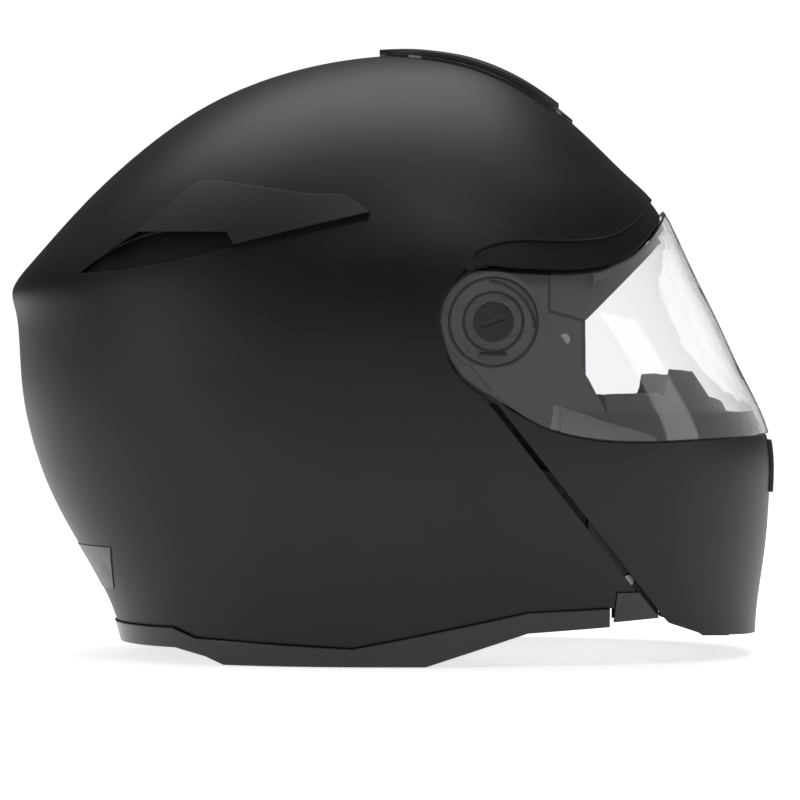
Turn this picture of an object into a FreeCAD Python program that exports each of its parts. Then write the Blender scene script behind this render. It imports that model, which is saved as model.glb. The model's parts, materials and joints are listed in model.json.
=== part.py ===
import FreeCAD, Part
import math
import os

# Modular (flip-up) motorcycle helmet, millimetres.
# +X is the wearer's forward, +Y the wearer's left, +Z up. The helmet stands on the flat foot of its edge trim
# at z = 0, and the origin is under the middle of its length. The right side is modelled and mirrored.

V = FreeCAD.Vector
os.makedirs("parts", exist_ok=True)

# ---- driving sizes ----
LENGTH = 340.0  # rear ridge to the front of the chin vent
WIDTH = 252.0  # widest, just below the hub
HEIGHT = 267.0  # foot of the trim to the top of the skin

SHELL_WALL = 3.5
FOAM_GAP = 0.5  # skin to foam
PANEL_GAP = 1.6  # skin to visor edge
SEAM_GAP = 2.5  # skin to chin bar
VISOR_WALL = 2.0
VISOR_PROUD = 1.2  # visor face outside the skin
LOBE_R = 22.0  # round end of the visor
LOBE_DIP = 2.6  # how far the lobe's upper edge curves in from its flat, with clearance
HUB_BORE_R = 6.1
FIT = 0.3  # clearance of a sliding or turning fit
LAYER_GAP = 0.4  # between the flat layers of the hub
PIVOT_R = 5.0  # chin bar pivot boss
PIVOT_SCREW_R = 2.5
PIN_R = 2.5  # strike pin of the chin bar lock
HOOK_WALL = 3.0
CAP_WALL = 1.6
SLIDE_WALL = 1.3
LIFT_WALL = 1.5
ARM_WALL = 2.0
PLATE_WALL = 3.3
CROWN_PAD = 8.0
CHEEK_HALF_GAP = 46.0  # between the cheek pads, from the middle
CHEEK_PAD = 15.5
CHEEK_FOAM = 13.5
HEAD_LENGTH = 212.0  # inside the foam
HEAD_WIDTH = 180.0
HEAD_CENTRE_X = -22.0
HEAD_SPRING_Z = 130.0  # where the dome of the head space starts
HEAD_TOP_Z = 233.0
STRAP_WIDTH = 22.0
STRAP_WALL = 1.8
CHIN_OPENING = 55.0  # degrees
LIFT_ANGLE = 15.0  # direction in which the visor leaves the chin bar
LIFT_TRAVEL = 28.0
LIFT_PLATE = (24.0, 15.0)
LIFT_REACH = 12.6  # of the lift plate's round ends from its middle
SLIDE_ANGLE = 60.0  # direction in which the visor moves out as it opens
SLIDE_TRAVEL = 6.4
SLIDE_PLATE = (18.0, 12.0)
SWEEP_CLEARANCE = 0.6
SWEEP_STEPS = 8

# ---- the frame that the outline tables are drawn in, stretched to the sizes above ----
DRAWN_LENGTH = 340.0
DRAWN_WIDTH = 252.0
DRAWN_HEIGHT = 267.0


def along(x):
    return x * LENGTH / DRAWN_LENGTH


def across(y):
    return y * WIDTH / DRAWN_WIDTH


def up(z):
    return z * HEIGHT / DRAWN_HEIGHT


HUB_X = along(42.0)
HUB_Z = up(145.0)

# Flat layers at the hub, as distances from the median plane, outermost first.
LOBE_FACE = across(126.0) - 4.3
LOBE_BACK = LOBE_FACE - VISOR_WALL
CAP_BACK = LOBE_FACE + FIT
CAP_FACE = CAP_BACK + CAP_WALL
SLIDE_FACE = LOBE_BACK - LAYER_GAP
SLIDE_BACK = SLIDE_FACE - SLIDE_WALL
LIFT_FACE = SLIDE_BACK - LAYER_GAP
LIFT_BACK = LIFT_FACE - LIFT_WALL
ARM_FACE = LIFT_BACK - LAYER_GAP
ARM_BACK = ARM_FACE - ARM_WALL
PLATE_FACE = ARM_BACK - LAYER_GAP
PLATE_BACK = PLATE_FACE - PLATE_WALL

# Depths under the outer surface of the curved layers that carry those flats forward.
VISOR_DEPTH = VISOR_WALL - VISOR_PROUD
ARM_DEPTH = SHELL_WALL + 0.6
PLATE_DEPTH = ARM_DEPTH + ARM_WALL + 0.9
PLATE_FLOOR = PLATE_DEPTH + 3.0

# ---- outer surface ----
# Level rings of the skin: rear x and z, side x, half width and z, front x and z, fullness of the front quarter.
RINGS = [
    (-116, -12, 0, 100.0, -12, 160.0, -12, 2.4),
    (-121, 6, 0, 104.0, 6, 162.0, 6, 2.4),
    (-128, 26, 1, 109.0, 26, 163.6, 27, 2.4),
    (-139, 46, 2, 114.5, 46, 166.2, 46, 2.45),
    (-153, 72, 3, 121.0, 72, 168.0, 72, 2.5),
    (-162, 98, 4, 124.8, 98, 166.4, 98, 2.5),
    (-166.3, 124, 5, 126.0, 124, 154.5, 124, 2.5),
    (-168.3, 150, 4, 125.4, 148, 143.0, 149, 2.4),
    (-170, 162, 3, 121.8, 169, 131.5, 173, 2.25),
    (-160.5, 175, 1, 114.8, 187, 120.5, 196, 2.15),
    (-141, 197, -1, 103.5, 207, 106.0, 212, 2.1),
    (-114, 222.5, -3, 86.5, 228, 86.0, 231.5, 2.1),
    (-78, 247, -2, 63.0, 246.5, 58.0, 253.3, 2.1),
    (-42, 260.5, 2, 41.0, 258.3, 36.0, 263, 2.1),
    (-18, 265.3, 5, 22.0, 264.5, 25.0, 265.4, 2.1),
    (1, 267, 7, 6.0, 267, 13.0, 267, 2.0),
]
REAR_FULLNESS = 2.3
RING_STEPS = 14
RIDGE_DEPTH = 6.0  # deep inner surfaces stay near this depth under the rear ridge, which is too tight for more
RIDGE_SHARE = 0.1


def ring_points(ring):
    rear_x, rear_z, side_x, half_width, side_z, front_x, front_z, front_fullness = ring
    points = []
    for step in range(RING_STEPS + 1):
        angle = math.pi * step / RING_STEPS
        c = math.cos(angle)
        s = math.sin(angle) if 0 < step < RING_STEPS else 0.0
        ahead = c > 0
        power = 2.0 / (front_fullness if ahead else REAR_FULLNESS)
        reach = front_x - side_x if ahead else rear_x - side_x
        end_z = front_z if ahead else rear_z
        x = side_x + reach * abs(c) ** power
        y = -half_width * s**power
        z = side_z + (end_z - side_z) * c * c
        points.append(V(along(x), across(y), up(z)))
    return points


def half_surface(grid):
    surface = Part.BSplineSurface()
    surface.interpolate(grid)
    last = surface.NbVPoles
    for row in range(1, surface.NbUPoles + 1):
        for edge, beside in ((1, 2), (last, last - 1)):
            pole = surface.getPole(row, edge)
            near = surface.getPole(row, beside)
            surface.setPole(row, edge, V(pole.x, 0, pole.z))
            surface.setPole(row, beside, V(pole.x, near.y, pole.z))
    return surface


SKIN_GRID = [ring_points(ring) for ring in RINGS]
SKIN = half_surface(SKIN_GRID)


def local_depth(depth, point):
    if depth <= RIDGE_DEPTH:
        return depth
    shallow = RIDGE_DEPTH + (depth - RIDGE_DEPTH) * RIDGE_SHARE
    from_ridge = math.hypot(point.x - along(-170), point.z - up(162))
    share = min(max((from_ridge - 15.0) / 60.0, 0.0), 1.0)
    return shallow + (depth - shallow) * share


def sunk_point(point, depth, row):
    if row == len(RINGS) - 1:
        return V(point.x, point.y, point.z - depth)
    outward = SKIN.normal(*SKIN.parameter(point))
    if outward.dot(V(point.x - along(-5), point.y, point.z - up(120))) < 0:
        outward = -outward
    moved = point - outward * local_depth(depth, point)
    if row == 0:
        moved.z = point.z
    if abs(point.y) < 1e-6:
        moved.y = 0.0
    return moved


ENVELOPES = {}


def envelope(depth):
    """Closed solid whose face lies this far inside the outer surface, or outside it if negative."""
    if depth not in ENVELOPES:
        grid = [[sunk_point(p, depth, row) for p in points] for row, points in enumerate(SKIN_GRID)]
        half = half_surface(grid).toShape()
        both = Part.makeShell([half, half.mirror(V(0, 0, 0), V(0, 1, 0))])
        both.sewShape()
        faces = list(both.Faces)
        for z in (grid[0][0].z, grid[-1][0].z):
            rim = [e for e in both.Edges if abs(e.BoundBox.ZMax - z) < 0.01 and e.BoundBox.ZLength < 0.01]
            faces.append(Part.Face(Part.Wire(Part.__sortEdges__(rim))))
        closed = Part.makeShell(faces)
        closed.sewShape()
        ENVELOPES[depth] = Part.makeSolid(closed)
    return ENVELOPES[depth]


# ---- building blocks ----
FAR = 1.2 * max(LENGTH, WIDTH)  # past every face


def slab(half_width):
    return Part.makeBox(2 * FAR, 2 * half_width, 2 * FAR, V(-FAR, -half_width, -FAR))


def layer(depth, half_width):
    return envelope(depth).common(slab(half_width))


def curved(outline, outer_depth, inner_depth):
    """The part of an outline's prism between two depths under the outer surface."""
    return outline.common(envelope(outer_depth)).cut(envelope(inner_depth))


def p(x, z):
    """A point of a side outline, stretched with the helmet."""
    return V(along(x), 0, up(z))


def h(dx, dz):
    """A point of a side outline, held at its distance from the hub."""
    return V(HUB_X + dx, 0, HUB_Z + dz)


def outline_wire(runs):
    """Closed wire from runs of points: two make a line, more make a smooth curve, and an arc names itself."""
    edges = []
    for run in runs:
        if run[0] == "arc":
            edges.append(Part.Arc(*run[1:]).toShape())
        elif len(run) == 2:
            edges.append(Part.makeLine(*run))
        else:
            curve = Part.BSplineCurve()
            curve.interpolate(run)
            edges.append(curve.toShape())
    return Part.Wire(edges)


def side_prism(runs, near=-FAR, far=FAR):
    wire = outline_wire(runs)
    face = Part.Face(wire)
    face.translate(V(0, near, 0))
    return face.extrude(V(0, far - near, 0))


def side_polygon(points, near=-FAR, far=FAR):
    loop = points + points[:1]
    return side_prism([[a, b] for a, b in zip(loop, loop[1:])], near, far)


def plan_prism(half_outline, low=None, high=None):
    """Upright prism from a smooth half outline in plan, given as stretched x and half width, rear to front."""
    low = -FAR if low is None else low
    high = FAR if high is None else high
    right = [V(along(x), -w, 0) for x, w in half_outline]
    left = [V(a.x, -a.y, 0) for a in reversed(right)]
    face = Part.Face(outline_wire([right, [right[-1], left[0]], left, [left[-1], right[0]]]))
    face.translate(V(0, 0, low))
    return face.extrude(V(0, 0, high - low))


def disc(x, z, radius, near, far):
    """Cylinder along Y on the right side, between two distances from the median plane."""
    return Part.makeCylinder(radius, far - near, V(x, -far, z), V(0, 1, 0))


def hub_disc(radius, near, far):
    return disc(HUB_X, HUB_Z, radius, near, far)


def turned_box(length, width, near, far, angle, shift=0.0):
    """Box on the right side centred on the hub, its length turned from forward towards up."""
    box = Part.makeBox(length, far - near, width, V(-length / 2 + shift, -far, -width / 2))
    box.rotate(V(0, 0, 0), V(0, 1, 0), -angle)
    box.translate(V(HUB_X, 0, HUB_Z))
    return box


def right_half():
    return Part.makeBox(2 * FAR, FAR, 2 * FAR, V(-FAR, -FAR, -FAR))


def mirrored(shape):
    return shape.mirror(V(0, 0, 0), V(0, 1, 0))


def save(name, *shapes):
    solids = [solid for shape in shapes for solid in shape.Solids]
    shape = solids[0] if len(solids) == 1 else Part.makeCompound(solids)
    shape.exportStep(os.path.join("parts", name + ".step"))
    return shape


def save_pair(name, shape):
    save(name + "_right", shape)
    save(name + "_left", mirrored(shape))


def save_group(name, shape):
    return save(name, shape, mirrored(shape))


# ---- side outlines ----
SEAM_TOP = p(37.9, 116.0)
SEAM_FOOT = p(114.5, 19.2)
SEAM = (SEAM_FOOT - SEAM_TOP).normalize()
SEAM_NORMAL = V(-SEAM.z, 0, SEAM.x)


def seam_point(point, offset):
    return point + SEAM_NORMAL * offset


def visor_top_edge(gap):
    """The visor's upper edge from the lobe to the brow, raised by a gap."""
    lobe_top = h(0, LOBE_R + gap)
    points = [(56, 166), (71.6, 165.8), (82.9, 166.6), (93.1, 169.2), (101.5, 173.4), (108.9, 179.6)]
    points += [(116.3, 188.8), (121.5, 198.0)]
    return [lobe_top] + [p(x, z) + V(0, 0, gap) for x, z in points]


def visor_rear_edge(gap):
    """The lower rear of the visor, from the chin seam's top back to the level of the hub, moved out by a gap."""
    return [h(-3.8 - 0.7 * gap, -29 - 0.7 * gap), h(-14.3 - 0.8 * gap, -20.3 - 0.6 * gap),
            h(-19.9 - gap, -9), h(-LOBE_R - gap, 0)]


def lobe_arc(gap):
    reach = (LOBE_R + gap) * math.sqrt(0.5)
    return ["arc", h(-LOBE_R - gap, 0), h(-reach, reach), h(0, LOBE_R + gap)]


VISOR_LOWER_EDGE = [p(171, 98.9), p(163, 98), p(143, 96.8), p(119, 95.7), p(96.6, 95.5), p(78.9, 97.4),
                    p(63.3, 101.7), h(7.2, -35.7), h(-3.8, -29)]


def visor_prism():
    top = visor_top_edge(0)
    front_top = V(FAR, 0, top[-1].z)
    front_low = V(FAR, 0, VISOR_LOWER_EDGE[0].z)
    rear = visor_rear_edge(0)
    return side_prism([top, [top[-1], front_top], [front_top, front_low], [front_low, VISOR_LOWER_EDGE[0]],
                       VISOR_LOWER_EDGE + rear[1:], lobe_arc(0)])


def port_prism():
    """Everything that the skin leaves open for the visor and the chin bar."""
    top = visor_top_edge(PANEL_GAP)
    rear = visor_rear_edge(PANEL_GAP)
    seam_foot = seam_point(SEAM_FOOT + SEAM * 60, -SEAM_GAP / 2)
    seam_top = seam_point(SEAM_TOP, -SEAM_GAP / 2)
    front_top = V(FAR, 0, top[-1].z)
    front_low = V(FAR, 0, seam_foot.z)
    return side_prism([top, [top[-1], front_top], [front_top, front_low], [front_low, seam_foot],
                       [seam_foot, seam_top], [seam_top, rear[0]], rear, lobe_arc(PANEL_GAP)])


SKIN_FOOT = [p(-124, 15), p(-94.4, 15.3), p(-84.7, 11.3), p(-17, 7.9), p(3.2, 11.8), p(57, 23), p(92, 24.5)]
TRIM_FOOT = [p(-124, 6.1), p(-93.3, 6.5), p(-80, 3.4), V(along(-72), 0, 0), V(along(14), 0, 0), p(57, 14.2),
             p(92, 16.4)]
TRIM_FIT = 0.1


def below(points, drop=0.0):
    """Everything under a line that runs from the back to the front."""
    line = [V(-FAR, 0, points[0].z)] + points + [V(FAR, 0, points[-1].z)]
    line = [a - V(0, 0, drop) for a in line]
    return side_polygon(line + [V(FAR, 0, -FAR), V(-FAR, 0, -FAR)])


LOCK_COVER = [p(94.9, 31.2), p(104.6, 31.2), p(113.6, 19.8), p(93.6, 18.4)]
CHIN_FOOT = [p(110, 17), p(118, 17.4), p(134, 11.7), p(153, 10.2), p(166, 9.2)]


def chin_prism(drop):
    """The chin bar's side outline, its upper edge a little below the visor's lower edge."""
    seam_top = seam_point(SEAM_TOP + SEAM * 3.0, SEAM_GAP / 2)
    top_edge = [a - V(0, 0, drop) for a in VISOR_LOWER_EDGE[:-1]] + [seam_top]
    foot = CHIN_FOOT
    seam_foot = seam_point(SEAM_FOOT, SEAM_GAP / 2)
    return side_prism([[seam_top, seam_foot], [seam_foot, foot[1]], [foot[1], foot[2]], [foot[2], foot[3]],
                       [foot[3], foot[4]], [foot[4], V(FAR, 0, foot[4].z)],
                       [V(FAR, 0, foot[4].z), V(FAR, 0, top_edge[0].z)], [V(FAR, 0, top_edge[0].z), top_edge[0]],
                       top_edge])


# Shallow step in the skin that the visor's upper edge passes over as it starts to open.
VISOR_REBATE = [[p(34, 160), p(34, 174)], [p(34, 174), p(46, 179), p(62, 180), p(82, 180.5), p(97, 184.5), p(108, 193),
                                           p(117, 204)],
                [p(117, 204), p(150, 204)], [p(150, 204), p(150, 160)], [p(150, 160), p(34, 160)]]


def swept(radius, near, travel, angle, turned=0.0):
    """Where a disc at the hub passes as it slides out by a travel while its direction turns by an angle."""
    path = []
    for step in range(SWEEP_STEPS + 1):
        share = step / SWEEP_STEPS
        turn = math.radians(angle + turned * share)
        reach = travel * share
        path.append(disc(HUB_X + reach * math.cos(turn), HUB_Z + reach * math.sin(turn), radius, near, FAR))
    return path[0].multiFuse(path[1:])


def swept_by_lift(radius, near):
    return swept(radius, near, LIFT_TRAVEL, LIFT_ANGLE, CHIN_OPENING)


# ---- shell ----
def rear_vent_scoop():
    return side_prism([[p(-134, 166.7), p(-107.6, 181.5), p(-70, 183.5)], [p(-70, 183.5), p(-64, 178)],
                       [p(-64, 178), p(-83.5, 172.6), p(-134, 166.7)]])


def outer_shell():
    skin = envelope(0).cut(envelope(SHELL_WALL))
    skin = skin.cut(port_prism()).cut(below(SKIN_FOOT)).cut(side_polygon(LOCK_COVER))
    skin = skin.cut(side_prism(VISOR_REBATE).cut(envelope(VISOR_DEPTH + 0.5)))
    scoop = rear_vent_scoop().cut(envelope(2.2)).common(right_half())
    lobe_path = swept_by_lift(LOBE_R + SWEEP_CLEARANCE, LOBE_BACK - LAYER_GAP)
    lobe_slide = swept(LOBE_R + SWEEP_CLEARANCE, LOBE_BACK - LOBE_DIP, SLIDE_TRAVEL, SLIDE_ANGLE)
    plate_path = swept_by_lift(LIFT_REACH + SWEEP_CLEARANCE, LIFT_BACK - LAYER_GAP)
    for cutter in (scoop, lobe_path, lobe_slide, plate_path):
        skin = skin.cut(cutter).cut(mirrored(cutter))
    return skin


def edge_trim():
    band = envelope(-1.0).cut(envelope(7.0))
    ahead = side_polygon([p(92, -30), p(92, 60), V(FAR, 0, up(60)), V(FAR, 0, up(-30))])
    above = side_polygon([a - V(0, 0, TRIM_FIT) for a in
                          [V(-FAR, 0, SKIN_FOOT[0].z)] + SKIN_FOOT + [V(FAR, 0, SKIN_FOOT[-1].z)]]
                         + [V(FAR, 0, FAR), V(-FAR, 0, FAR)])
    return band.cut(above).cut(below(TRIM_FOOT)).cut(ahead)


def lock_cover():
    inset = 0.15
    low_left, foot = LOCK_COVER[3], LOCK_COVER[2]
    outline = [LOCK_COVER[0] + V(inset, 0, -inset), LOCK_COVER[1] + V(-inset, 0, -inset), foot, low_left + V(inset, 0, 0)]
    return curved(side_polygon(outline).common(right_half()), -0.6, 4.0)


def seam_seal():
    outline = [p(82, 66), p(82, 48), p(93, 33), p(93, 20), p(113.5, 20), p(113.5, 27), p(97, 50), p(86, 62)]
    seal = curved(side_polygon(outline).common(right_half()), SHELL_WALL + 0.9, SHELL_WALL + 2.4)
    return seal.cut(disc(PIN.x, PIN.z, PIN_R + FIT, 0, FAR))


def head_form(grow):
    """The head space inside the foam: an oval dome on an oval tube."""
    radius = HEAD_LENGTH / 2 + grow
    top = HEAD_TOP_Z - HEAD_SPRING_Z + grow
    profile = Part.Wire([
        Part.makeLine(V(0, 0, -FAR), V(radius, 0, -FAR)),
        Part.makeLine(V(radius, 0, -FAR), V(radius, 0, 0)),
        Part.Arc(V(radius, 0, 0), V(radius * math.sqrt(0.5), 0, radius * math.sqrt(0.5)), V(0, 0, radius)).toShape(),
        Part.makeLine(V(0, 0, radius), V(0, 0, -FAR)),
    ])
    round_form = Part.Face(profile).revolve(V(0, 0, 0), V(0, 0, 1), 360)
    stretch = FreeCAD.Matrix()
    stretch.scale(V(1, (HEAD_WIDTH / 2 + grow) / radius, top / radius))
    form = round_form.transformGeometry(stretch)
    form.translate(V(HEAD_CENTRE_X, 0, HEAD_SPRING_Z))
    return form


BROW_LINE = [p(81, -40), p(81, 146), p(118, 182), p(134, 186), p(200, 186), p(200, -40)]
PORT_TRIM_OUTLINE = [p(66, 150), p(81, 146), p(118, 182), p(134, 186), p(134, 203), p(116, 203), p(108, 190),
                     p(100, 181), p(90, 175.5), p(66, 173)]
FOAM_FOOT = [p(-160, 36), p(-12, 36), p(0, 38), p(81, 46)]
FOAM_SPLIT_Z = up(172)  # the crown foam is a separate, softer block
CHANNEL_HALF = CHEEK_HALF_GAP + CHEEK_PAD + CHEEK_FOAM + 1.0


def hub_pocket():
    outline = [p(6, 178), p(6, 126), p(24, 108), p(46, 88), p(90, 76), p(90, 182)]
    return side_polygon(outline).cut(layer(PLATE_FLOOR + FOAM_GAP, PLATE_BACK - FOAM_GAP))


def foam_liner():
    foam = envelope(SHELL_WALL + FOAM_GAP).cut(head_form(0))
    channel = Part.makeBox(FAR, 2 * CHANNEL_HALF, HEAD_SPRING_Z + FAR, V(HEAD_CENTRE_X, -CHANNEL_HALF, -FAR))
    trim_pocket = side_polygon(PORT_TRIM_OUTLINE).cut(envelope(9.8))
    foam = foam.cut(channel).cut(side_polygon(BROW_LINE)).cut(below(FOAM_FOOT)).cut(hub_pocket())
    return foam.cut(trim_pocket)


def crown_pad():
    pad = head_form(-FOAM_GAP).cut(head_form(-FOAM_GAP - CROWN_PAD))
    return pad.common(Part.makeBox(2 * FAR, 2 * FAR, FAR, V(-FAR - along(-70), -FAR, up(165))).common(
        Part.makeBox(2 * FAR, 2 * FAR, 2 * FAR, V(along(62) - 2 * FAR, -FAR, -FAR))))


CHEEK_OUTLINE = [p(-18, 44), p(-18, 108), p(10, 124), p(62, 124), p(77, 114), p(77, 56), p(62, 30), p(8, 22)]


def cheek_block(near, far):
    return side_polygon(CHEEK_OUTLINE, -far, -near)


def neck_roll():
    roll = envelope(9.0).cut(head_form(-16))
    box = Part.makeBox(FAR, 2 * FAR, up(34.5) - up(6.5), V(along(-20) - FAR, -FAR, up(6.5)))
    return roll.common(box)


def port_trim():
    return curved(side_polygon(PORT_TRIM_OUTLINE), 6.4, 9.4)


def brow_gasket():
    outline = [p(84, 165), p(93.5, 168), p(101.5, 172), p(109, 178.5), p(115.5, 187), p(120, 196.5), p(134, 196.5),
               p(134, 190), p(121, 190), p(113, 181), p(104, 172.5), p(95, 166.5), p(84, 161)]
    return curved(side_polygon(outline), 2.2, 6.2)


PLATE_OUTLINE = [p(22, 132), p(34, 112), p(50, 110), p(62, 106), p(79, 106), p(79, 145.5), p(65, 149), p(65, 165),
                 p(44, 165)]
PLATE_R = LOBE_R + PANEL_GAP - 0.3
PLATE_SCREWS = [p(72, 138), p(70, 114), p(44, 117)]
PLATE_SCREW_R = 2.4


def side_plate():
    outline = side_polygon(PLATE_OUTLINE).fuse(hub_disc(PLATE_R, 0, FAR)).common(right_half())
    plate = outline.common(layer(PLATE_DEPTH, PLATE_FACE).cut(layer(PLATE_FLOOR, PLATE_BACK)))
    wall = hub_disc(PLATE_R + 4, PLATE_BACK, FAR).cut(hub_disc(PLATE_R, 0, FAR)).common(envelope(SHELL_WALL + 0.1))
    wall = wall.common(side_polygon([h(-40, -14), h(-40, 40), h(-2, 40), h(-2, 10), h(-12, -14)]))
    wall = wall.cut(swept_by_lift(LIFT_REACH + SWEEP_CLEARANCE, LIFT_BACK - LAYER_GAP))
    plate = plate.fuse(wall).fuse(hub_disc(PIVOT_R, PLATE_BACK, ARM_FACE - 0.1))
    plate = plate.cut(hub_disc(PIVOT_SCREW_R, 0, FAR))
    for place in PLATE_SCREWS:
        plate = plate.cut(disc(place.x, place.z, PLATE_SCREW_R, 0, FAR))
    return plate.removeSplitter()


def plate_screws():
    body = layer(PLATE_DEPTH + 0.1, PLATE_FACE - 0.1).cut(layer(PLATE_FLOOR, PLATE_BACK))
    pins = [disc(a.x, a.z, PLATE_SCREW_R - 0.05, 0, FAR).common(body) for a in PLATE_SCREWS]
    return Part.makeCompound(pins)


def rear_vent():
    top = [p(-121.5, 175.6), p(-108.8, 183.6), p(-83.5, 205), p(-75, 205.6), p(-37, 199.2), p(-20, 198.8)]
    low = [p(-9.5, 191.2), p(-39, 184.4), p(-66.6, 177.7), p(-69.5, 183.2), p(-107.6, 184)]
    return curved(side_polygon(top + low).common(right_half()), -3.2, -0.05)


COVER_PLAN = [(-6, 9), (8, 19), (28, 24), (52, 26), (68, 22), (74, 14)]
BASE_PLAN = [(-3, 11), (10, 23), (30, 28), (55, 30), (72, 27), (80, 17)]
VENT_WINDOW = (44.0, 66.0, 9.0)
KNOB = (45.0, 55.0, 8.4)
BASE_RISE = 1.2
COVER_RISE = 3.0


def plan_box(start, end, half_width):
    return Part.makeBox(along(end) - along(start), 2 * half_width, FAR, V(along(start), -half_width, up(150)))


def top_vent_base():
    return curved(plan_prism(BASE_PLAN, up(150)), -BASE_RISE, -0.05)


def top_vent_cover():
    cover = curved(plan_prism(COVER_PLAN, up(150)), -COVER_RISE, -BASE_RISE - 0.05)
    return cover.cut(plan_box(*VENT_WINDOW))


def top_vent_slider():
    return curved(plan_box(*KNOB), -COVER_RISE, -BASE_RISE - 0.4)


def rear_patch():
    outline = side_polygon([p(-160, 30), p(-122, 30), p(-122, 49), p(-160, 49)])
    return curved(outline, -0.35, -0.05)


# ---- chin bar ----
CHIN_DROP = 0.8  # visor edge to the step in the chin bar


def chin_shell():
    outer = curved(chin_prism(CHIN_DROP), 0, SHELL_WALL)
    rim_edge = [p(171, 108), p(143, 107), p(119, 106), p(96, 106), p(82, 107), p(70, 109)]
    rim_foot = [p(70, 97), p(96, 92), p(119, 92), p(171, 94)]
    rim = curved(side_polygon(rim_edge + rim_foot), VISOR_DEPTH + 0.6, SHELL_WALL + 0.3)
    shell = outer.fuse(rim)
    for row in range(3):
        z = up(77.0 + 6.0 * row)
        slot = Part.makeBox(FAR, 34, 2.6, V(along(140), -17, z))
        shell = shell.cut(slot)
    button_hole = Part.makeBox(14, 28, 20, V(along(137), -14, 0))
    return shell.cut(button_hole)


ARM_STRIP = [p(33, 126), p(46, 112), p(62, 100), p(78, 92), p(102, 84), p(104, 100), p(91, 104), p(82, 121),
             p(70, 140), p(61, 150)]
ARM_R = LOBE_R - 1.0
RAIL = 2.0
ARM_SCREWS = [p(84, 96), p(96, 91)]
ARM_SCREW_R = 2.0


def chin_arm():
    strip = side_polygon(ARM_STRIP).cut(hub_disc(ARM_R, 0, FAR)).common(right_half())
    strip = strip.common(layer(ARM_DEPTH, ARM_FACE).cut(layer(ARM_DEPTH + ARM_WALL + 0.1, ARM_BACK)))
    arm = strip.fuse(hub_disc(ARM_R, ARM_BACK, ARM_FACE))
    length, width = LIFT_PLATE
    rail_gap = width + 2 * FIT
    for side in (-1, 1):
        rail = turned_box(length + 3, RAIL, ARM_FACE - 0.2, LIFT_FACE - 0.5, LIFT_ANGLE)
        turn = math.radians(LIFT_ANGLE)
        offset = side * (rail_gap + RAIL) / 2
        rail.translate(V(-math.sin(turn) * offset, 0, math.cos(turn) * offset))
        arm = arm.fuse(rail)
    for place in ARM_SCREWS:
        arm = arm.cut(disc(place.x, place.z, ARM_SCREW_R + 0.05, 0, FAR))
    return arm.cut(hub_disc(PIVOT_R + FIT, 0, FAR)).removeSplitter()


def arm_screws():
    body = envelope(ARM_DEPTH + 0.1).cut(envelope(ARM_DEPTH + ARM_WALL + 2.0))
    return Part.makeCompound([disc(a.x, a.z, ARM_SCREW_R, 0, FAR).common(body) for a in ARM_SCREWS])


CHIN_FOAM_OUTLINE = [p(108, 58), p(126, 58), p(126, 31), p(172, 31), p(172, 100), p(108, 100)]


def chin_eps():
    return curved(side_polygon(CHIN_FOAM_OUTLINE), 4.2, 24.0)


def chin_lining():
    outline = [p(112, 62), p(130, 60), p(130, 36), p(172, 36), p(172, 97), p(112, 97)]
    return curved(side_polygon(outline), 24.3, 29.0)


def chin_gasket():
    outline = [p(90, 100.3), p(89, 115), p(112, 115.6), p(122, 109.5), p(172, 106), p(172, 100.3)]
    return curved(side_polygon(outline), 8.0, 11.0)


def breath_deflector():
    outline = [p(112, 100.3), p(118, 125.7), p(129, 125), p(137, 114), p(158, 109.5), p(160, 100.3)]
    return curved(side_polygon(outline), 12.0, 14.0)


def chin_curtain():
    outline = [p(114, 19.6), p(134, 14.4), p(158, 12.4), p(172, 12), p(172, 14.2), p(158, 14.6), p(134, 16.6),
               p(114, 21.8)]
    sheet = side_polygon(outline).common(envelope(4.0))
    neck = Part.makeCylinder(78, 60, V(along(60), 0, 0))
    return sheet.cut(neck).cut(Part.makeBox(13, 27, 40, V(along(137.5), -13.5, 0)))


def chin_vent_frame():
    frame = Part.makeBox(FAR, 60, up(95) - up(72), V(along(120), -30, up(72)))
    window = Part.makeBox(FAR, 44, up(92) - up(75), V(along(120), -22, up(75)))
    return curved(frame.cut(window), -1.8, -0.05)


SHUTTER_TRAVEL = 6.0


def chin_vent_shutter():
    block = Part.makeBox(FAR, 42, up(92) - up(75) - SHUTTER_TRAVEL - 1.2, V(along(120), -21, up(75) + 0.6))
    return curved(block, -1.7, -0.5)


# ---- chin bar lock ----
PIN = p(100, 36)
HOOK_PIVOT = p(117, 36)
HOOK_NEAR = across(73.0)
BUTTON_TRAVEL = 5.0


def strike_pin():
    return disc(PIN.x, PIN.z, PIN_R, HOOK_NEAR - 1.5, FAR).common(envelope(SHELL_WALL + 0.05))


def latch_pivot():
    post = disc(HOOK_PIVOT.x, HOOK_PIVOT.z, 2.0, HOOK_NEAR - 1.0, FAR).common(envelope(SHELL_WALL + 0.05))
    return post


def latch_hook():
    reach = 0.4
    inner_x = PIN.x - PIN_R - reach
    over_z = PIN.z + PIN_R + reach
    points = [V(HOOK_PIVOT.x, 0, over_z + 4), V(inner_x - 3, 0, over_z + 4), V(inner_x - 3, 0, PIN.z - 2),
              V(inner_x, 0, PIN.z - 2), V(inner_x, 0, over_z), V(HOOK_PIVOT.x, 0, over_z)]
    hook = side_polygon(points, -HOOK_NEAR - HOOK_WALL, -HOOK_NEAR)
    hook = hook.fuse(disc(HOOK_PIVOT.x, HOOK_PIVOT.z, 7.0, HOOK_NEAR, HOOK_NEAR + HOOK_WALL))
    return hook.cut(disc(HOOK_PIVOT.x, HOOK_PIVOT.z, 2.0 + FIT, 0, FAR)).removeSplitter()


def release_button():
    return Part.makeBox(12, 26, 12.5, V(along(138), -13, 7.5))


def latch_rod():
    return curved(Part.makeBox(FAR, 2 * FAR, 3.0, V(along(122), -FAR, 20.5)), 22.0, 25.0)


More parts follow.
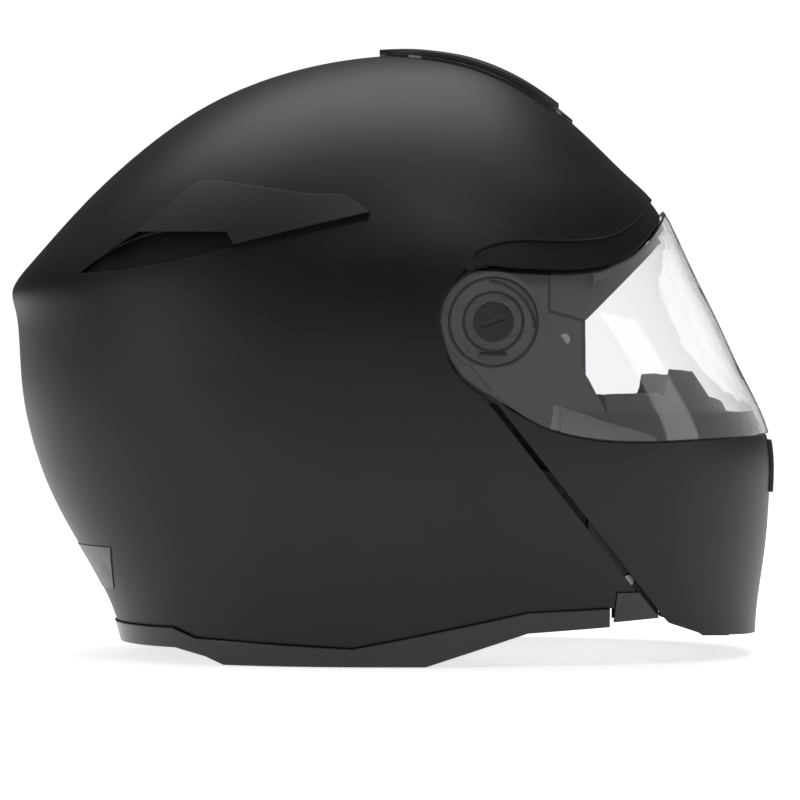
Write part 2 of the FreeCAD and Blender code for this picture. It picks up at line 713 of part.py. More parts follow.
# ---- visor ----
def hub_rings():
    rings = []
    for radius in (19.0, 13.0):
        rings.append(hub_disc(radius, LOBE_FACE, LOBE_FACE + 0.8).cut(hub_disc(radius - 1.2, 0, FAR)))
    return Part.makeCompound(rings)


def visor_lens():
    lens = visor_prism().common(layer(-VISOR_PROUD, LOBE_FACE).cut(layer(VISOR_DEPTH, LOBE_BACK)))
    bore = hub_disc(HUB_BORE_R, 0, FAR)
    return lens.cut(bore).cut(mirrored(bore))


def visor_lift_plate():
    length, width = LIFT_PLATE
    plate = turned_box(length, width, LIFT_BACK, LIFT_FACE, LIFT_ANGLE)
    slide_length, slide_width = SLIDE_PLATE
    for side in (-1, 1):
        rail = turned_box(slide_length, 1.2, LIFT_FACE - 0.2, SLIDE_FACE - 0.2, SLIDE_ANGLE)
        turn = math.radians(SLIDE_ANGLE)
        offset = side * (slide_width / 2 + FIT + 0.6)
        rail.translate(V(-math.sin(turn) * offset, 0, math.cos(turn) * offset))
        plate = plate.fuse(rail)
    return plate.common(hub_disc(LIFT_REACH, 0, FAR)).common(envelope(VISOR_DEPTH + LAYER_GAP)).removeSplitter()


def visor_slide_plate():
    length, width = SLIDE_PLATE
    plate = turned_box(length, width, SLIDE_BACK, SLIDE_FACE, SLIDE_ANGLE)
    return plate.common(envelope(VISOR_DEPTH + LAYER_GAP)).fuse(hub_disc(HUB_BORE_R - FIT, SLIDE_BACK, CAP_BACK)).removeSplitter()


def hub_cap():
    cap = hub_disc(8.5, CAP_BACK, CAP_FACE)
    return cap.cut(turned_box(11, 1.6, CAP_FACE - 0.8, FAR, 20))


# ---- strap and buckle ----
STRAP_X = along(30)


def strap_band(points):
    """Flat band across the neck, through points given as distance to the right and height."""
    half = STRAP_WALL / 2
    upper = [V(STRAP_X - STRAP_WIDTH / 2, -y, z + half) for y, z in points]
    lower = [a - V(0, 0, STRAP_WALL) for a in reversed(upper)]
    face = Part.Face(Part.makePolygon(upper + lower + upper[:1]))
    return face.extrude(V(STRAP_WIDTH, 0, 0))


STRAP_ROUTE = [(across(100), 29), (across(78), 17), (across(46), 13), (20, 13)]


def strap():
    return strap_band(STRAP_ROUTE)


def strap_rivet():
    (far_y, far_z), (near_y, near_z) = STRAP_ROUTE[:2]
    run = V(0, far_y - near_y, near_z - far_z).normalize()
    across_run = V(0, -run.z, run.y)
    foot = V(STRAP_X, -far_y, far_z) + run * 5.0 + across_run * (STRAP_WALL / 2 + 0.05)
    return Part.makeCylinder(4, 2.4, foot, across_run)


def buckle_housing():
    shell = Part.makeBox(STRAP_WIDTH + 6, 39, 7, V(STRAP_X - STRAP_WIDTH / 2 - 3, -19.5, 9.5))
    return shell.cut(Part.makeBox(STRAP_WIDTH + 1, 60, 4, V(STRAP_X - STRAP_WIDTH / 2 - 0.5, -30, 11)))


def buckle_lever():
    return Part.makeBox(STRAP_WIDTH, 30, 2.5, V(STRAP_X - STRAP_WIDTH / 2, -12, 16.9))


def strap_tongue():
    return Part.makeBox(STRAP_WIDTH - 2, 24, 1.6, V(STRAP_X - STRAP_WIDTH / 2 + 1, -12, 12.2))


# ---- export ----
save("outer_shell", outer_shell())
save("edge_trim", edge_trim())
save_pair("lock_cover", lock_cover())
FOAM = foam_liner()
CROWN_BLOCK = Part.makeBox(2 * FAR, 2 * FAR, FAR, V(-FAR, -FAR, FOAM_SPLIT_Z))
save("crown_eps", FOAM.common(CROWN_BLOCK))
save("side_eps", FOAM.cut(CROWN_BLOCK))
save_pair("seam_seal", seam_seal())
save("crown_pad", crown_pad())
PAD_FAR = CHEEK_HALF_GAP + CHEEK_PAD
save_pair("cheek_eps", cheek_block(PAD_FAR + 0.4, PAD_FAR + CHEEK_FOAM + 0.4))
save_pair("cheek_pad", cheek_block(CHEEK_HALF_GAP, PAD_FAR))
save("neck_roll", neck_roll())
save("port_trim", port_trim())
save("brow_gasket", brow_gasket())
save_pair("side_plate", side_plate())
save_group("plate_screws", plate_screws())
save_group("pivot_screws", hub_disc(PIVOT_SCREW_R - 0.05, PLATE_BACK, ARM_FACE - 0.1))
save_pair("rear_vent", rear_vent())
save("top_vent_base", top_vent_base())
save("top_vent_cover", top_vent_cover())
save("top_vent_slider", top_vent_slider())
save("rear_patch", rear_patch())
save("chin_shell", chin_shell())
save_pair("chin_arm", chin_arm())
save_group("arm_screws", arm_screws())
save("chin_eps", chin_eps())
save("chin_lining", chin_lining())
save("chin_gasket", chin_gasket())
save("breath_deflector", breath_deflector())
save("chin_curtain", chin_curtain())
save("chin_vent_frame", chin_vent_frame())
save("chin_vent_shutter", chin_vent_shutter())
save_group("strike_pins", strike_pin())
save_group("latch_pivots", latch_pivot())
save_pair("latch_hook", latch_hook())
save("release_button", release_button())
save("latch_rod", latch_rod())
save("visor_lens", visor_lens())
save_group("visor_rings", hub_rings())
save_group("visor_lift_plates", visor_lift_plate())
save_group("visor_slide_plates", visor_slide_plate())
save_group("hub_caps", hub_cap())
save_pair("strap", strap())
save_group("strap_rivets", strap_rivet())
save("buckle_housing", buckle_housing())
save("buckle_lever", buckle_lever())
save("strap_tongue", strap_tongue())
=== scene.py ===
import bmesh
import bpy
import json
import math
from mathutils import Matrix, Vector, noise


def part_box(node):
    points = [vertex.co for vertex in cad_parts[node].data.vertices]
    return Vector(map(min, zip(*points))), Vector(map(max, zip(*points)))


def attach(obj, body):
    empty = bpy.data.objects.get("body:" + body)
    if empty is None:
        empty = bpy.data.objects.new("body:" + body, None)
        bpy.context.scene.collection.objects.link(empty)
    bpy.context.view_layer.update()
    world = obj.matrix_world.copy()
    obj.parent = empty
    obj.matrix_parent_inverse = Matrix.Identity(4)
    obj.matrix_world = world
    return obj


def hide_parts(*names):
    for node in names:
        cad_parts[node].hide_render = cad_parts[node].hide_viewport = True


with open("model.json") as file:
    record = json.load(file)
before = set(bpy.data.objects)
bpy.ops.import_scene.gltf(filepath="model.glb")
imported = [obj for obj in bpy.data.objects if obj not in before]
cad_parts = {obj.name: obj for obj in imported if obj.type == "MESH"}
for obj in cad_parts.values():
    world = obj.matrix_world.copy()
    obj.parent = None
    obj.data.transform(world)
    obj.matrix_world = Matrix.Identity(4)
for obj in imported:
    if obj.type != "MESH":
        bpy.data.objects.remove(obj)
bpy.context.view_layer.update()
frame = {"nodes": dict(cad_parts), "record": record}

SIDES = {"right": -1, "left": 1}  # direction of each side along Y
WHITE = (1.0, 1.0, 1.0, 1.0)


# ---- node helpers ----
class Shader:
    """A node material that is built up step by step around one Principled shader."""

    def __init__(self, name, colour, roughness, **sockets):
        self.material = bpy.data.materials.new(name)
        self.material.use_nodes = True
        self.tree = self.material.node_tree
        self.bsdf = self.tree.nodes["Principled BSDF"]
        self.bsdf.inputs["Base Color"].default_value = (*colour, 1.0)
        self.bsdf.inputs["Roughness"].default_value = roughness
        for socket, value in sockets.items():
            self.bsdf.inputs[socket.replace("_", " ")].default_value = value
        self.place = self.add("ShaderNodeTexCoord").outputs["Object"]
        self.normal = None

    def add(self, kind, **settings):
        node = self.tree.nodes.new(kind)
        for key, value in settings.items():
            if key in node.inputs:
                node.inputs[key].default_value = value
            else:
                setattr(node, key, value)
        return node

    def link(self, source, target):
        self.tree.links.new(source, target)

    def stretched(self, scale):
        mapping = self.add("ShaderNodeMapping", Scale=scale)
        self.link(self.place, mapping.inputs["Vector"])
        return mapping.outputs["Vector"]

    def grain(self, scale, detail=3.0, place=None):
        node = self.add("ShaderNodeTexNoise", Scale=scale, Detail=detail)
        self.link(place or self.place, node.inputs["Vector"])
        return node.outputs["Fac"]

    def cells(self, scale, feature="F1", place=None):
        node = self.add("ShaderNodeTexVoronoi", feature=feature, Scale=scale)
        self.link(place or self.place, node.inputs["Vector"])
        return node.outputs["Distance"]

    def ribs(self, scale, direction):
        node = self.add("ShaderNodeTexWave", bands_direction=direction, Scale=scale)
        self.link(self.place, node.inputs["Vector"])
        return node.outputs["Fac"]

    def mixed(self, first, second, operation="MULTIPLY"):
        node = self.add("ShaderNodeMath", operation=operation)
        self.link(first, node.inputs[0])
        self.link(second, node.inputs[1])
        return node.outputs[0]

    def ramp(self, source, low, high, start=0.0, end=1.0):
        node = self.add("ShaderNodeMapRange")
        node.inputs["From Min"].default_value = start
        node.inputs["From Max"].default_value = end
        node.inputs["To Min"].default_value = low
        node.inputs["To Max"].default_value = high
        self.link(source, node.inputs["Value"])
        return node.outputs["Result"]

    def round_edges(self, radius):
        node = self.add("ShaderNodeBevel", samples=6, Radius=radius)
        self.normal = node.outputs["Normal"]

    def bump(self, height, distance, strength=1.0):
        node = self.add("ShaderNodeBump", Strength=strength, Distance=distance)
        self.link(height, node.inputs["Height"])
        if self.normal:
            self.link(self.normal, node.inputs["Normal"])
        self.normal = node.outputs["Normal"]

    def vary_colour(self, source, dark, light, start=0.3, end=0.7):
        node = self.add("ShaderNodeValToRGB")
        node.color_ramp.elements[0].position = start
        node.color_ramp.elements[0].color = (*dark, 1.0)
        node.color_ramp.elements[1].position = end
        node.color_ramp.elements[1].color = (*light, 1.0)
        self.link(source, node.inputs["Fac"])
        self.link(node.outputs["Color"], self.bsdf.inputs["Base Color"])

    def vary_roughness(self, source, low, high):
        self.link(self.ramp(source, low, high), self.bsdf.inputs["Roughness"])

    def done(self):
        if self.normal:
            self.link(self.normal, self.bsdf.inputs["Normal"])
        return self.material


# ---- materials ----
def matt_paint():
    """Soft-touch black lacquer: a fine even texture and faint cloudy changes of sheen."""
    paint = Shader("matt_paint", (0.005, 0.005, 0.006), 0.45, Specular_IOR_Level=0.3)
    paint.round_edges(0.0007)
    paint.bump(paint.grain(2600.0, 2.0), 0.00006, 0.5)
    paint.vary_roughness(paint.grain(14.0, 4.0), 0.38, 0.48)
    paint.vary_colour(paint.grain(30.0, 5.0), (0.0035, 0.0035, 0.0042), (0.0055, 0.0055, 0.0064))
    return paint.done()


def moulded_plastic(name, tone, roughness, texture=1400.0):
    """Injection-moulded plastic with the leathery texture of a spark-eroded tool."""
    plastic = Shader(name, (tone, tone, tone * 1.04), roughness, Specular_IOR_Level=0.45)
    plastic.round_edges(0.0005)
    plastic.bump(plastic.cells(texture), 0.00008, 0.5)
    plastic.bump(plastic.grain(500.0), 0.00005, 0.4)
    plastic.vary_roughness(plastic.grain(25.0), roughness - 0.05, roughness + 0.07)
    plastic.vary_colour(plastic.grain(60.0, 5.0), [tone * 0.85] * 3, [tone * 1.2] * 3)
    return plastic.done()


def smoked_gloss():
    strip = Shader("smoked_gloss", (0.02, 0.021, 0.023), 0.07, Coat_Weight=0.6, Coat_Roughness=0.03)
    strip.round_edges(0.0005)
    strip.bump(strip.grain(90.0), 0.00004, 0.2)
    strip.vary_roughness(strip.grain(40.0), 0.05, 0.12)
    return strip.done()


def rubber(name, tone, roughness):
    skin = Shader(name, (tone, tone, tone), roughness, Specular_IOR_Level=0.5)
    skin.round_edges(0.0012)
    skin.bump(skin.grain(900.0, 4.0), 0.00008, 0.45)
    skin.bump(skin.grain(60.0), 0.0003, 0.25)
    skin.vary_roughness(skin.grain(35.0, 4.0), roughness - 0.07, roughness + 0.1)
    skin.vary_colour(skin.grain(110.0, 4.0), [tone * 0.8] * 3, [tone * 1.35] * 3)
    return skin.done()


def bead_foam():
    """Expanded polystyrene: fused beads about 3 mm across."""
    foam = Shader("bead_foam", (0.03, 0.03, 0.032), 0.75, Specular_IOR_Level=0.3)
    beads = foam.cells(320.0)
    foam.bump(foam.ramp(beads, 1.0, 0.0, 0.0, 0.7), 0.0005, 0.6)
    # Each bead is painted darker towards its rim: painted shade in the crevices between the beads.
    foam.vary_colour(beads, (0.034, 0.034, 0.037), (0.015, 0.015, 0.016), 0.2, 0.6)
    foam.vary_roughness(foam.grain(200.0), 0.65, 0.85)
    return foam.done()


def knit_lining(name="knit_lining", tone=0.02):
    """Brushed mesh fabric with open cells."""
    knit = Shader(name, (tone, tone, tone * 1.08), 0.9, Sheen_Weight=0.35, Sheen_Roughness=0.4)
    holes = knit.cells(560.0, "DISTANCE_TO_EDGE")
    knit.bump(knit.ramp(holes, 1.0, 0.0, 0.0, 0.35), 0.0005, 0.8)
    knit.bump(knit.grain(2200.0, 5.0), 0.0002, 0.5)
    # The cells are painted darker towards their middles: painted shade in the recessed holes of the mesh.
    knit.vary_colour(holes, [tone * 1.5] * 3, [tone * 0.5] * 3, 0.05, 0.4)
    return knit.done()


def webbing():
    """Woven nylon tape: diagonal ribs crossed by fine weft lines."""
    tape = Shader("woven_webbing", (0.014, 0.014, 0.015), 0.62, Sheen_Weight=0.3, Sheen_Roughness=0.35)
    warp = tape.ribs(190.0, "DIAGONAL")
    weft = tape.ribs(420.0, "Y")
    tape.bump(tape.mixed(warp, weft), 0.0004, 0.8)
    tape.bump(tape.grain(3000.0), 0.0001, 0.4)
    tape.vary_colour(warp, (0.009, 0.009, 0.01), (0.022, 0.022, 0.024))
    return tape.done()


def clear_visor():
    """Hard-coated clear polycarbonate."""
    lens = Shader("clear_visor", (0.965, 0.972, 0.98), 0.0, Transmission_Weight=1.0, IOR=1.45)
    lens.vary_roughness(lens.grain(22.0, 2.0), 0.0, 0.02)
    lens.bump(lens.grain(12.0, 1.0), 0.00002, 0.1)
    return lens.done()


def reflective_patch():
    patch = Shader("reflective_patch", (0.08, 0.08, 0.085), 0.42, Metallic=0.3)
    beads = patch.cells(1500.0)
    patch.bump(beads, 0.0001, 0.5)
    patch.vary_colour(patch.grain(180.0, 4.0), (0.05, 0.05, 0.055), (0.11, 0.11, 0.12))
    return patch.done()


def brushed_steel():
    steel = Shader("brushed_steel", (0.2, 0.2, 0.21), 0.32, Metallic=1.0)
    steel.round_edges(0.0004)
    lines = steel.grain(60.0, 4.0, steel.stretched((1.0, 30.0, 30.0)))
    steel.bump(lines, 0.00005, 0.3)
    steel.vary_roughness(lines, 0.22, 0.42)
    return steel.done()


def sewing_thread():
    thread = Shader("sewing_thread", (0.045, 0.045, 0.048), 0.6, Sheen_Weight=0.3)
    thread.bump(thread.ribs(2400.0, "DIAGONAL"), 0.0001, 0.6)
    return thread.done()


MATERIALS = {
    "shell_paint": matt_paint(),
    "vent_plastic": moulded_plastic("vent_plastic", 0.007, 0.42),
    "gloss_strip": smoked_gloss(),
    "lock_plastic": moulded_plastic("lock_plastic", 0.018, 0.4),
    "trim_rubber": rubber("trim_rubber", 0.005, 0.2),
    "seal_rubber": rubber("seal_rubber", 0.006, 0.5),
    "foam": bead_foam(),
    "lining": knit_lining(),
    "webbing": webbing(),
    "inner_plastic": moulded_plastic("inner_plastic", 0.008, 0.3, 900.0),
    "visor_clear": clear_visor(),
    "patch": reflective_patch(),
    "steel": brushed_steel(),
}
THREAD = sewing_thread()


# ---- CAD nodes ----
EDGE_RADII = {  # metres, of the rounded edges of the moulded pieces
    "edge_trim": 0.0022,
    "rear_vent_right": 0.0008,
    "rear_vent_left": 0.0008,
    "top_vent_cover": 0.0006,
    "lock_cover_right": 0.0006,
    "lock_cover_left": 0.0006,
    "chin_vent_frame": 0.0005,
    "hub_caps": 0.0003,
}
SHARP_ANGLE = math.radians(35)


def finish_cad_nodes():
    for part in frame["record"]["subparts"]:
        node = frame["nodes"][part["node"]]
        node.data.materials.clear()
        node.data.materials.append(MATERIALS[part["material_slot"]])
    for node_name, radius in EDGE_RADII.items():
        bevel = frame["nodes"][node_name].modifiers.new("rounding", "BEVEL")
        bevel.width = radius
        bevel.segments = 4
        bevel.limit_method = "ANGLE"
        bevel.angle_limit = SHARP_ANGLE


# ---- mesh helpers ----
WELD_DISTANCE = 0.00001
WRINKLE_SCALE = 45.0
WRINKLE_DEPTH = 0.0003


def add_object(name, mesh, material):
    piece = bpy.data.objects.new(name, mesh)
    bpy.context.scene.collection.objects.link(piece)
    piece.data.materials.clear()
    piece.data.materials.append(material)
    for face in piece.data.polygons:
        face.use_smooth = True
    return piece


def evaluated(piece):
    """The piece's mesh with its modifiers applied."""
    graph = bpy.context.evaluated_depsgraph_get()
    mesh = bpy.data.meshes.new_from_object(piece.evaluated_get(graph))
    piece.modifiers.clear()
    piece.data = mesh
    for face in mesh.polygons:
        face.use_smooth = True


def welded_copy(node):
    mesh = frame["nodes"][node].data.copy()
    work = bmesh.new()
    work.from_mesh(mesh)
    bmesh.ops.remove_doubles(work, verts=work.verts, dist=WELD_DISTANCE)
    bmesh.ops.recalc_face_normals(work, faces=work.faces)
    work.to_mesh(mesh)
    work.free()
    return mesh


def groove(distance, half_width):
    """1 on a sewn line, falling smoothly to 0 at its edge."""
    share = abs(distance) / half_width
    return 0.0 if share >= 1.0 else (1.0 - share * share) ** 2


def padded_piece(name, node, body, voxel, sewn, rounding=8, depth=0.0016):
    """Foam pad under knit fabric: rounded from its solid, then pulled in along its sewn lines."""
    piece = add_object(name, welded_copy(node), MATERIALS["lining"])
    remesh = piece.modifiers.new("remesh", "REMESH")
    remesh.mode = "VOXEL"
    remesh.voxel_size = voxel
    smooth = piece.modifiers.new("smooth", "SMOOTH")
    smooth.factor = 0.6
    smooth.iterations = rounding
    evaluated(piece)
    subdivide = piece.modifiers.new("subdivide", "SUBSURF")
    subdivide.levels = 1
    evaluated(piece)
    moves = []
    for vertex in piece.data.vertices:
        wrinkle = noise.noise(vertex.co * WRINKLE_SCALE) * WRINKLE_DEPTH
        moves.append(vertex.normal * (wrinkle - depth * sewn(vertex.co)))
    for vertex, move in zip(piece.data.vertices, moves):
        vertex.co += move
    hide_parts(node)
    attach(piece, body)
    return piece


# ---- soft goods ----
SEW_HALF_WIDTH = 0.0035  # of the dip beside a sewn line
NARROW_HALF_WIDTH = 0.003
CHEEK_SEAM_LEVEL = 0.30  # share of the cheek pad's height
CHEEK_SEAM_RISE = 0.12
CHEEK_SEAM_APART = 0.32
EAR_SEAM_ALONG = 0.2
EAR_SEAM_ABOVE = 0.45
CROWN_SEAM_Y = 0.030
CROWN_SEAM_BACK = 0.030
CROWN_SEAM_FRONT = 0.034


def cheek_lines(side):
    """Two curved lines along a cheek pad, and an upright one near its back end."""
    low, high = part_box("cheek_pad_" + side)
    size = high - low

    def sewn(point):
        along = (point.x - low.x) / size.x
        level = (point.z - low.z) / size.z
        curve = CHEEK_SEAM_LEVEL + CHEEK_SEAM_RISE * math.sin(math.pi * along)
        upper = groove((level - curve - CHEEK_SEAM_APART) * size.z, SEW_HALF_WIDTH)
        lower = groove((level - curve) * size.z, SEW_HALF_WIDTH)
        ear = groove((along - EAR_SEAM_ALONG) * size.x, NARROW_HALF_WIDTH) if level > EAR_SEAM_ABOVE else 0.0
        return max(upper, lower, ear)

    return sewn


def crown_lines():
    """Two lines along the crown pad and two across it."""
    low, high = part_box("crown_pad")
    middle = (low + high) / 2

    def sewn(point):
        side = groove(abs(point.y - middle.y) - CROWN_SEAM_Y, SEW_HALF_WIDTH)
        back = groove(point.x - middle.x + CROWN_SEAM_BACK, SEW_HALF_WIDTH)
        front = groove(point.x - middle.x - CROWN_SEAM_FRONT, SEW_HALF_WIDTH)
        return max(side, back, front)

    return sewn


def level_line(node, share):
    """One sewn line round a pad at a share of its height."""
    low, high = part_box(node)
    height = low.z + share * (high.z - low.z)
    return lambda point: groove(point.z - height, NARROW_HALF_WIDTH)


PAD_VOXEL = 0.003
CHIN_PAD_VOXEL = 0.0022
CHIN_SEAM_DEPTH = 0.0008


def make_pads():
    for side in SIDES:
        padded_piece("cheek_cushion_" + side, "cheek_pad_" + side, "shell", PAD_VOXEL, cheek_lines(side))
    padded_piece("crown_cushion", "crown_pad", "shell", PAD_VOXEL, crown_lines(), rounding=5)
    padded_piece("neck_cushion", "neck_roll", "shell", PAD_VOXEL, level_line("neck_roll", 0.42))
    padded_piece("chin_cushion", "chin_lining", "chin_bar", CHIN_PAD_VOXEL, level_line("chin_lining", 0.5),
                 rounding=3, depth=CHIN_SEAM_DEPTH)


def strap_route(node):
    """The middle line of a strap's solid, as distances from the median plane and heights, outermost first."""
    levels = {}
    for vertex in frame["nodes"][node].data.vertices:
        levels.setdefault(round(vertex.co.y, 5), []).append(vertex.co.z)
    return [(y, (min(z) + max(z)) / 2) for y, z in sorted(levels.items(), key=lambda item: -abs(item[0]))]


def smooth_route(points, steps):
    """A Catmull-Rom line through the points."""
    ends = [points[0]] + points + [points[-1]]
    line = []
    for a, b, c, d in zip(ends, ends[1:], ends[2:], ends[3:]):
        for step in range(steps):
            t = step / steps
            line.append(tuple(
                0.5 * (2 * q + (r - p) * t + (2 * p - 5 * q + 4 * r - s) * t * t + (3 * q - p - 3 * r + s) * t ** 3)
                for p, q, r, s in zip(a, b, c, d)))
    return line + [points[-1]]


# Half of the tape's section: share of its half width, share of its half wall.
TAPE_PROFILE = [(-1.0, 0.35), (-0.95, 0.95), (-0.88, 1.0), (-0.82, 0.8), (-0.4, 0.85), (0.0, 0.9), (0.4, 0.85),
                (0.82, 0.8), (0.88, 1.0), (0.95, 0.95), (1.0, 0.35)]
TAPE_HALF_WALL = 0.0009
ROUTE_STEPS = 10
SEWN_STRETCH = slice(18, 30)  # of the route's points
STITCH_ROW_SHARE = 0.72  # of the tape's half width
STITCH_GAP_SHARE = 0.3
THREAD_R = 0.0004


def make_strap(side):
    """A woven tape along the route of the strap's solid."""
    node = "strap_" + side
    low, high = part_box(node)
    middle_x = (low.x + high.x) / 2
    half_width = (high.x - low.x) / 2
    line = smooth_route(strap_route(node), ROUTE_STEPS)
    profile = TAPE_PROFILE + [(across, -height) for across, height in reversed(TAPE_PROFILE)]
    work = bmesh.new()
    rings = []
    for index, (y, z) in enumerate(line):
        before, after = line[max(index - 1, 0)], line[min(index + 1, len(line) - 1)]
        run = Vector((0.0, after[0] - before[0], after[1] - before[1])).normalized()
        up = Vector((0.0, -run.z, run.y))
        if up.z < 0:
            up = -up
        centre = Vector((middle_x, y, z))
        rings.append([work.verts.new(centre + Vector((across * half_width, 0, 0)) + up * (height * TAPE_HALF_WALL))
                      for across, height in profile])
    count = len(profile)
    for first, second in zip(rings, rings[1:]):
        for k in range(count):
            work.faces.new((first[k], first[(k + 1) % count], second[(k + 1) % count], second[k]))
    work.faces.new(rings[0])
    work.faces.new(list(reversed(rings[-1])))
    bmesh.ops.recalc_face_normals(work, faces=work.faces)
    mesh = bpy.data.meshes.new("webbing_" + side)
    work.to_mesh(mesh)
    work.free()
    strap = add_object("webbing_" + side, mesh, MATERIALS["webbing"])
    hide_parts(node)
    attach(strap, "shell")
    make_stitches("stitches_" + side, line[SEWN_STRETCH], middle_x, half_width * STITCH_ROW_SHARE)


def make_stitches(name, line, middle_x, reach):
    """Two rows of raised thread along a strap, each stitch a small rounded bar."""
    work = bmesh.new()
    for (y0, z0), (y1, z1) in zip(line, line[1:]):
        for row in (-reach, reach):
            start = Vector((middle_x + row, y0, z0 + TAPE_HALF_WALL))
            end = Vector((middle_x + row, y1, z1 + TAPE_HALF_WALL)).lerp(start, STITCH_GAP_SHARE)
            run = end - start
            made = bmesh.ops.create_uvsphere(work, u_segments=10, v_segments=6, radius=1.0)["verts"]
            turn = run.to_track_quat("Z", "Y")
            for vertex in made:
                local = Vector((vertex.co.x * THREAD_R, vertex.co.y * THREAD_R, vertex.co.z * run.length / 2))
                vertex.co = start.lerp(end, 0.5) + turn @ local
    mesh = bpy.data.meshes.new(name)
    work.to_mesh(mesh)
    work.free()
    piece = add_object(name, mesh, THREAD)
    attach(piece, "shell")


CURTAIN_FULLNESS = 2.4
NECK_CENTRE_X = 0.060
NECK_RADIUS = 0.0785
NOTCH_HALF = 0.0150
NOTCH_GAP = 0.0012  # between the release button and the cloth
CURTAIN_WALL = 0.0008
CURTAIN_INSET = 0.0006
CURTAIN_SPREAD = 0.985  # share of the solid's width
CURTAIN_MARGIN = 0.0011  # inside the solid's upper and lower faces
CURTAIN_SAG = 1.8
RIPPLE_DEPTH = 0.0002
RIPPLE_RATE = 420.0


def make_chin_curtain():
    """Stretch fabric that closes the chin bar's underside, with a notch for the button."""
    low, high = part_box("chin_curtain")
    button_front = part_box("release_button")[1].x
    front = high.x - CURTAIN_INSET
    reach = high.y * CURTAIN_SPREAD
    width = high.y / (1 - (low.x / high.x) ** CURTAIN_FULLNESS) ** (1 / CURTAIN_FULLNESS)
    columns, rows = 90, 8

    def outer_x(y):
        return front * (1 - min(abs(y) / width, 1.0) ** CURTAIN_FULLNESS) ** (1 / CURTAIN_FULLNESS)

    def inner_x(y):
        ring = NECK_CENTRE_X + math.sqrt(max(NECK_RADIUS ** 2 - y * y, 0.0))
        notch = button_front + NOTCH_GAP if abs(y) < NOTCH_HALF else 0.0
        return max(ring, notch, low.x)

    def level(x):
        fall = (x - low.x) / (high.x - low.x)
        return high.z - CURTAIN_MARGIN - (high.z - low.z - 2 * CURTAIN_MARGIN) * (1 - (1 - fall) ** CURTAIN_SAG)

    work = bmesh.new()
    grid = []
    for column in range(columns + 1):
        y = -reach + 2 * reach * column / columns
        start, end = inner_x(y), max(outer_x(y), inner_x(y) + CURTAIN_WALL / 2)
        strip = []
        for row in range(rows + 1):
            x = start + (end - start) * row / rows
            ripple = RIPPLE_DEPTH * math.sin(y * RIPPLE_RATE) * math.sin(math.pi * row / rows)
            strip.append(work.verts.new((x, y, level(x) + ripple)))
        grid.append(strip)
    for first, second in zip(grid, grid[1:]):
        for k in range(rows):
            work.faces.new((first[k], first[k + 1], second[k + 1], second[k]))
    area = sum(face.calc_area() for face in work.faces)
    mesh = bpy.data.meshes.new("chin_curtain_cloth")
    work.to_mesh(mesh)
    work.free()
    cloth = add_object("chin_curtain_cloth", mesh, MATERIALS["lining"])
    wall = cloth.modifiers.new("wall", "SOLIDIFY")
    wall.thickness = CURTAIN_WALL
    wall.offset = 0.0
    evaluated(cloth)
    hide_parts("chin_curtain")
    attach(cloth, "chin_bar")


LEVER_OUTER_R = 0.0158
LEVER_INNER_R = 0.0138
LEVER_SWELL = 0.0010
LEVER_ARC = (246, 294)  # degrees round the hub
LEVER_STEPS = 24
LEVER_BACK = 0.0018  # behind the cap's outer face
LEVER_RIMS = ((0.0, 1.0), (0.0008, 1.0), (0.0011, 0.985))  # height, and scale about the hub


def make_release_levers():
    """Small levers under the hubs that free the visor from its carriers."""
    low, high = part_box("hub_caps")
    centre_x, centre_z = (low.x + high.x) / 2, (low.z + high.z) / 2
    start, end = LEVER_ARC
    outline = []
    for step in range(LEVER_STEPS + 1):
        turn = math.radians(start + (end - start) * step / LEVER_STEPS)
        outline.append((math.cos(turn) * LEVER_OUTER_R, math.sin(turn) * LEVER_OUTER_R))
    for step in range(LEVER_STEPS + 1):
        turn = math.radians(end - (end - start) * step / LEVER_STEPS)
        radius = LEVER_INNER_R - LEVER_SWELL * math.sin(math.pi * step / LEVER_STEPS)
        outline.append((math.cos(turn) * radius, math.sin(turn) * radius))
    for side, sign in SIDES.items():
        face = sign * (high.y - LEVER_BACK)
        work = bmesh.new()
        rims = []
        for depth, scale in LEVER_RIMS:
            rims.append([work.verts.new((centre_x + x * scale, face + sign * depth, centre_z + z * scale))
                         for x, z in outline])
        count = len(outline)
        for first, second in zip(rims, rims[1:]):
            for k in range(count):
                work.faces.new((first[k], first[(k + 1) % count], second[(k + 1) % count], second[k]))
        work.faces.new(rims[-1])
        work.faces.new(list(reversed(rims[0])))
        bmesh.ops.recalc_face_normals(work, faces=work.faces)
        mesh = bpy.data.meshes.new("release_lever_" + side)
        work.to_mesh(mesh)
        work.free()
        lever = add_object("release_lever_" + side, mesh, MATERIALS["lock_plastic"])
        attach(lever, "visor")


# ---- camera, stage and light ----
CAMERA_PLACE = (0.00315, -1.6, 0.1126)
CAMERA_LENS = 160.0
FLOOR_HALF = 6.0
FLOOR_DROP = 0.0004
# Name, place, target, size, watts and colour.
SOFTBOXES = (
    ("top_box", (-0.1, 0.35, 1.5), (0, 0, 0.1), (1.6, 1.2), 16, (1.0, 1.0, 1.0)),
    ("rear_side_box", (-1.25, -0.95, 0.45), (-0.1, 0, 0.1), (0.6, 0.8), 3.2, (0.82, 0.9, 1.0)),
    ("crown_box", (0.3, -0.8, 1.5), (0.02, 0, 0.15), (0.7, 0.5), 3.5, (1.0, 1.0, 1.0)),
    ("front_box", (1.5, -0.5, 0.5), (0.1, 0, 0.1), (0.5, 0.9), 2.0, (1.0, 1.0, 1.0)),
)
WORLD_LIGHT = 0.10
WORLD_SEEN = 1.05  # what the camera sees, also through the visor


def make_camera():
    camera = bpy.data.objects.new("camera", bpy.data.cameras.new("camera"))
    camera.data.lens = CAMERA_LENS
    camera.data.sensor_width = 36.0
    camera.location = CAMERA_PLACE
    camera.rotation_euler = (math.radians(90), 0, 0)
    camera.data.clip_start = 0.05
    bpy.context.scene.collection.objects.link(camera)
    bpy.context.scene.camera = camera


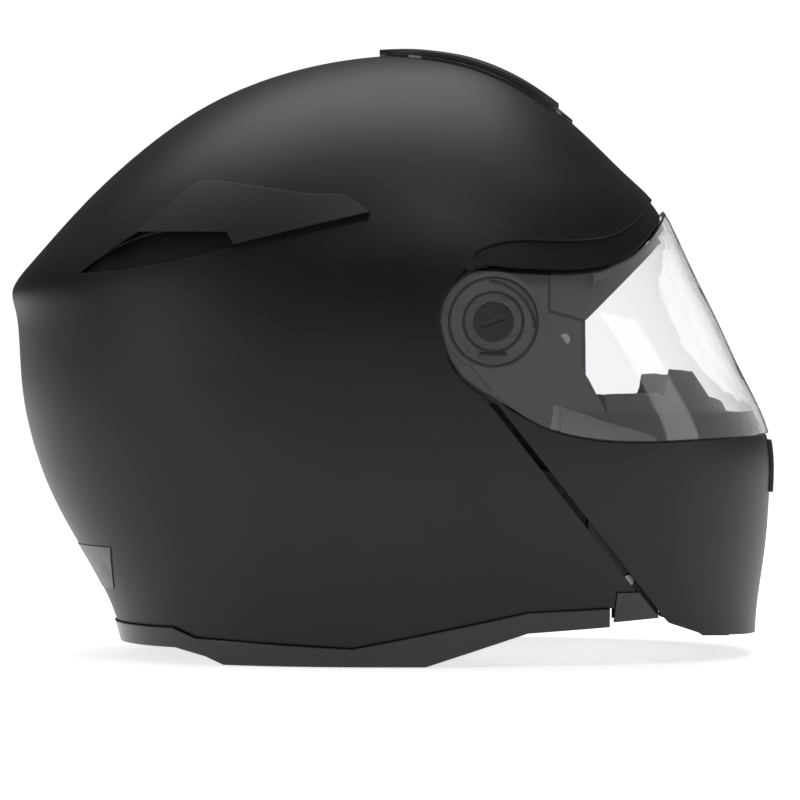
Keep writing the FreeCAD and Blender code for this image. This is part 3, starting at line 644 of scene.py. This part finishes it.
def make_floor():
    work = bmesh.new()
    bmesh.ops.create_grid(work, x_segments=8, y_segments=8, size=FLOOR_HALF)
    mesh = bpy.data.meshes.new("floor")
    work.to_mesh(mesh)
    work.free()
    floor = bpy.data.objects.new("floor", mesh)
    bpy.context.scene.collection.objects.link(floor)
    floor.location.z = -FLOOR_DROP
    paper = Shader("white_paper", (0.9, 0.9, 0.9), 0.9, Emission_Color=WHITE)
    distance = paper.add("ShaderNodeVectorMath", operation="LENGTH")
    paper.link(paper.place, distance.inputs[0])
    glow = paper.ramp(distance.outputs["Value"], 0.75, 1.1, 0.2, 0.75)
    paper.link(glow, paper.bsdf.inputs["Emission Strength"])
    paper.bump(paper.grain(300.0), 0.0001, 0.1)
    floor.data.materials.append(paper.done())


def softbox(name, place, target, size, power, colour):
    light = bpy.data.lights.new(name, "AREA")
    light.shape = "RECTANGLE"
    light.size, light.size_y = size
    light.energy = power
    light.color = colour
    lamp = bpy.data.objects.new(name, light)
    lamp.location = place
    lamp.rotation_euler = (Vector(target) - Vector(place)).to_track_quat("-Z", "Y").to_euler()
    bpy.context.scene.collection.objects.link(lamp)


def make_light():
    for settings in SOFTBOXES:
        softbox(*settings)
    world = bpy.data.worlds.new("studio")
    bpy.context.scene.world = world
    world.use_nodes = True
    tree = world.node_tree
    background = tree.nodes["Background"]
    background.inputs["Color"].default_value = WHITE
    path = tree.nodes.new("ShaderNodeLightPath")
    seen = tree.nodes.new("ShaderNodeMath")
    seen.operation = "MAXIMUM"
    tree.links.new(path.outputs["Is Camera Ray"], seen.inputs[0])
    tree.links.new(path.outputs["Is Transmission Ray"], seen.inputs[1])
    level = tree.nodes.new("ShaderNodeMapRange")
    level.inputs["To Min"].default_value = WORLD_LIGHT
    level.inputs["To Max"].default_value = WORLD_SEEN
    tree.links.new(seen.outputs[0], level.inputs["Value"])
    tree.links.new(level.outputs["Result"], background.inputs["Strength"])
    bpy.context.scene.view_settings.view_transform = "Standard"


make_camera()
make_floor()
make_light()
finish_cad_nodes()
make_pads()
for strap_side in SIDES:
    make_strap(strap_side)
make_chin_curtain()
make_release_levers()
